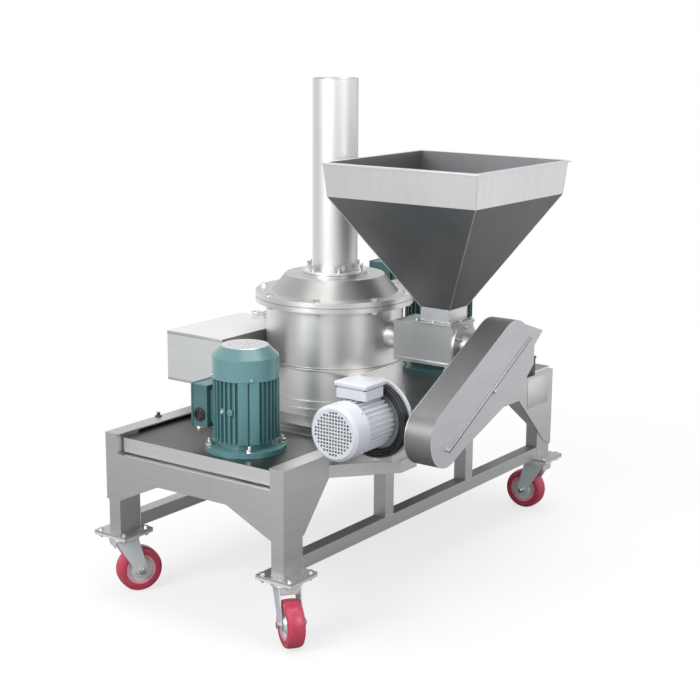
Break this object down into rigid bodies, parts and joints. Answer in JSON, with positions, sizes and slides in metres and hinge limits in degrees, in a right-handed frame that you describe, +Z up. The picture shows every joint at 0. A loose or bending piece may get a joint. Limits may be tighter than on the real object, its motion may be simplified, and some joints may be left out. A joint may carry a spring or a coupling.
{
  "type": "spice grinding mill",
  "caption": "Wheeled spice grinding mill: square hopper and screw feeder, round vessel with rotor and classifier, outlet pipe, air duct and belt-drive motors on a low frame.",
  "frame": {"origin": "centre of the machine's plan outline on the floor", "axes": "+Z up, +Y along the frame from the front motor to the rear motor, +X towards the screw feeder"},
  "size_m": [1.0055, 1.4914, 1.414],
  "materials": {
    "frame_steel": "brushed stainless sheet",
    "vessel_steel": "polished stainless",
    "fastener_steel": "bright stainless",
    "hopper_steel": "satin stainless",
    "shaft_steel": "ground",
    "tool_steel": "machined",
    "cast_iron": "machined casting",
    "belt_rubber": "matt",
    "teal_paint": "semi-gloss enamel",
    "dark_teal_paint": "semi-gloss enamel",
    "pale_grey_paint": "semi-gloss enamel",
    "gearbox_aluminium": "cast",
    "guard_sheet": "satin",
    "cable_black": "matt sheath",
    "zinc_plate": "zinc plated",
    "wheel_red": "moulded"
  },
  "bodies": {
    "frame": {"side_apron_left": "frame_steel", "side_apron_right": "frame_steel", "front_apron": "frame_steel", "rear_apron": "frame_steel", "legs": "frame_steel", "lower_rails": "frame_steel", "mill_deck": "frame_steel", "deck_supports": "frame_steel", "drive_bracket": "frame_steel", "lower_casing": "vessel_steel", "upper_casing": "vessel_steel", "mill_lid": "vessel_steel", "outlet_pipe": "vessel_steel", "air_inlet_duct": "vessel_steel", "lid_bolts": "fastener_steel", "pipe_clamps": "fastener_steel", "hopper": "hopper_steel", "feeder_box": "hopper_steel", "feeder_bearing_housing": "hopper_steel", "spindle_bearings": "shaft_steel", "toothed_liner": "tool_steel", "spindle_housing": "cast_iron", "rotor_belt": "belt_rubber", "classifier_belt": "belt_rubber", "feeder_belt": "belt_rubber", "rotor_motor_housing": "dark_teal_paint", "rotor_motor_fan_cover": "dark_teal_paint", "rotor_motor_terminal_box": "dark_teal_paint", "gear_motor_housing": "pale_grey_paint", "gear_motor_fan_cover": "pale_grey_paint", "gear_motor_terminal_box": "pale_grey_paint", "gearbox_housing": "gearbox_aluminium", "guard_back": "guard_sheet", "guard_cover": "guard_sheet", "cable_coil": "cable_black", "caster_plates": "zinc_plate"},
    "rotor": {"rotor_shaft": "shaft_steel", "inner_bearings": "shaft_steel", "rotor_disc": "tool_steel", "rotor_hammers": "tool_steel"},
    "classifier": {"classifier_shaft": "shaft_steel", "classifier_wheel": "tool_steel"},
    "rotor_motor_armature": {"rotor_motor_shaft": "shaft_steel"},
    "motor_slide": {"motor_slide_plate": "frame_steel", "classifier_motor_housing": "teal_paint", "classifier_motor_fan_cover": "teal_paint", "classifier_motor_terminal_box": "teal_paint"},
    "classifier_motor_armature": {"classifier_motor_shaft": "shaft_steel"},
    "screw": {"feed_screw": "shaft_steel", "feeder_pulley": "cast_iron"},
    "gear_output": {"output_shaft": "shaft_steel"},
    "worm": {"worm_shaft": "shaft_steel"},
    "swivel_front_left": {"caster_fork_front_left": "zinc_plate"},
    "wheel_front_left": {"caster_wheel_front_left": "wheel_red"},
    "swivel_front_right": {"caster_fork_front_right": "zinc_plate"},
    "wheel_front_right": {"caster_wheel_front_right": "wheel_red"},
    "swivel_rear_left": {"caster_fork_rear_left": "zinc_plate"},
    "wheel_rear_left": {"caster_wheel_rear_left": "wheel_red"},
    "swivel_rear_right": {"caster_fork_rear_right": "zinc_plate"},
    "wheel_rear_right": {"caster_wheel_rear_right": "wheel_red"}
  },
  "joints": [
    {"name": "rotor_motor_spin", "type": "hinge", "parent": "frame", "child": "rotor_motor_armature", "pos_m": [-0.1035, 0.465, 0.6], "axis": [0, 0, 1], "continuous": true},
    {"name": "rotor_spin", "type": "hinge", "parent": "frame", "child": "rotor", "pos_m": [-0.1235, -0.07, 0.5], "axis": [0, 0, 1], "continuous": true},
    {"name": "classifier_motor_slide", "type": "slide", "parent": "frame", "child": "motor_slide", "axis": [0, 1, 0], "range_m": [-0.01, 0.01], "deforming": ["classifier_belt"]},
    {"name": "classifier_motor_spin", "type": "hinge", "parent": "motor_slide", "child": "classifier_motor_armature", "pos_m": [-0.0555, -0.561, 0.6], "axis": [0, 0, 1], "continuous": true},
    {"name": "classifier_spin", "type": "hinge", "parent": "frame", "child": "classifier", "pos_m": [-0.1235, -0.07, 0.6], "axis": [0, 0, 1], "continuous": true},
    {"name": "worm_spin", "type": "hinge", "parent": "frame", "child": "worm", "pos_m": [0.2845, -0.52, 0.568], "axis": [0, 1, 0], "continuous": true},
    {"name": "gear_output_spin", "type": "hinge", "parent": "frame", "child": "gear_output", "pos_m": [0.3765, -0.403, 0.538], "axis": [1, 0, 0], "continuous": true},
    {"name": "screw_spin", "type": "hinge", "parent": "frame", "child": "screw", "pos_m": [0.1765, -0.07, 0.7], "axis": [1, 0, 0], "continuous": true},
    {"name": "swivel_front_left", "type": "hinge", "parent": "frame", "child": "swivel_front_left", "pos_m": [-0.4115, -0.668, 0.165], "axis": [0, 0, 1], "continuous": true},
    {"name": "roll_front_left", "type": "hinge", "parent": "swivel_front_left", "child": "wheel_front_left", "pos_m": [-0.39225, -0.6318, 0.0635], "axis": [-0.8829, 0.4695, 0], "continuous": true},
    {"name": "swivel_front_right", "type": "hinge", "parent": "frame", "child": "swivel_front_right", "pos_m": [0.1645, -0.668, 0.165], "axis": [0, 0, 1], "continuous": true},
    {"name": "roll_front_right", "type": "hinge", "parent": "swivel_front_right", "child": "wheel_front_right", "pos_m": [0.19767, -0.6921, 0.0635], "axis": [0.5878, 0.809, 0], "continuous": true},
    {"name": "swivel_rear_left", "type": "hinge", "parent": "frame", "child": "swivel_rear_left", "pos_m": [-0.4115, 0.668, 0.165], "axis": [0, 0, 1], "continuous": true},
    {"name": "roll_rear_left", "type": "hinge", "parent": "swivel_rear_left", "child": "wheel_rear_left", "pos_m": [-0.44467, 0.6921, 0.0635], "axis": [-0.5878, -0.809, 0], "continuous": true},
    {"name": "swivel_rear_right", "type": "hinge", "parent": "frame", "child": "swivel_rear_right", "pos_m": [0.1645, 0.668, 0.165], "axis": [0, 0, 1], "continuous": true},
    {"name": "roll_rear_right", "type": "hinge", "parent": "swivel_rear_right", "child": "wheel_rear_right", "pos_m": [0.1235, 0.668, 0.0635], "axis": [0, -1, 0], "continuous": true}
  ],
  "couplings": [
    {"joint": "rotor_spin", "follows": "rotor_motor_spin", "ratio": 1.5385},
    {"joint": "classifier_spin", "follows": "classifier_motor_spin", "ratio": 0.83333},
    {"joint": "gear_output_spin", "follows": "worm_spin", "ratio": 0.1},
    {"joint": "screw_spin", "follows": "worm_spin", "ratio": 0.063333}
  ]
}
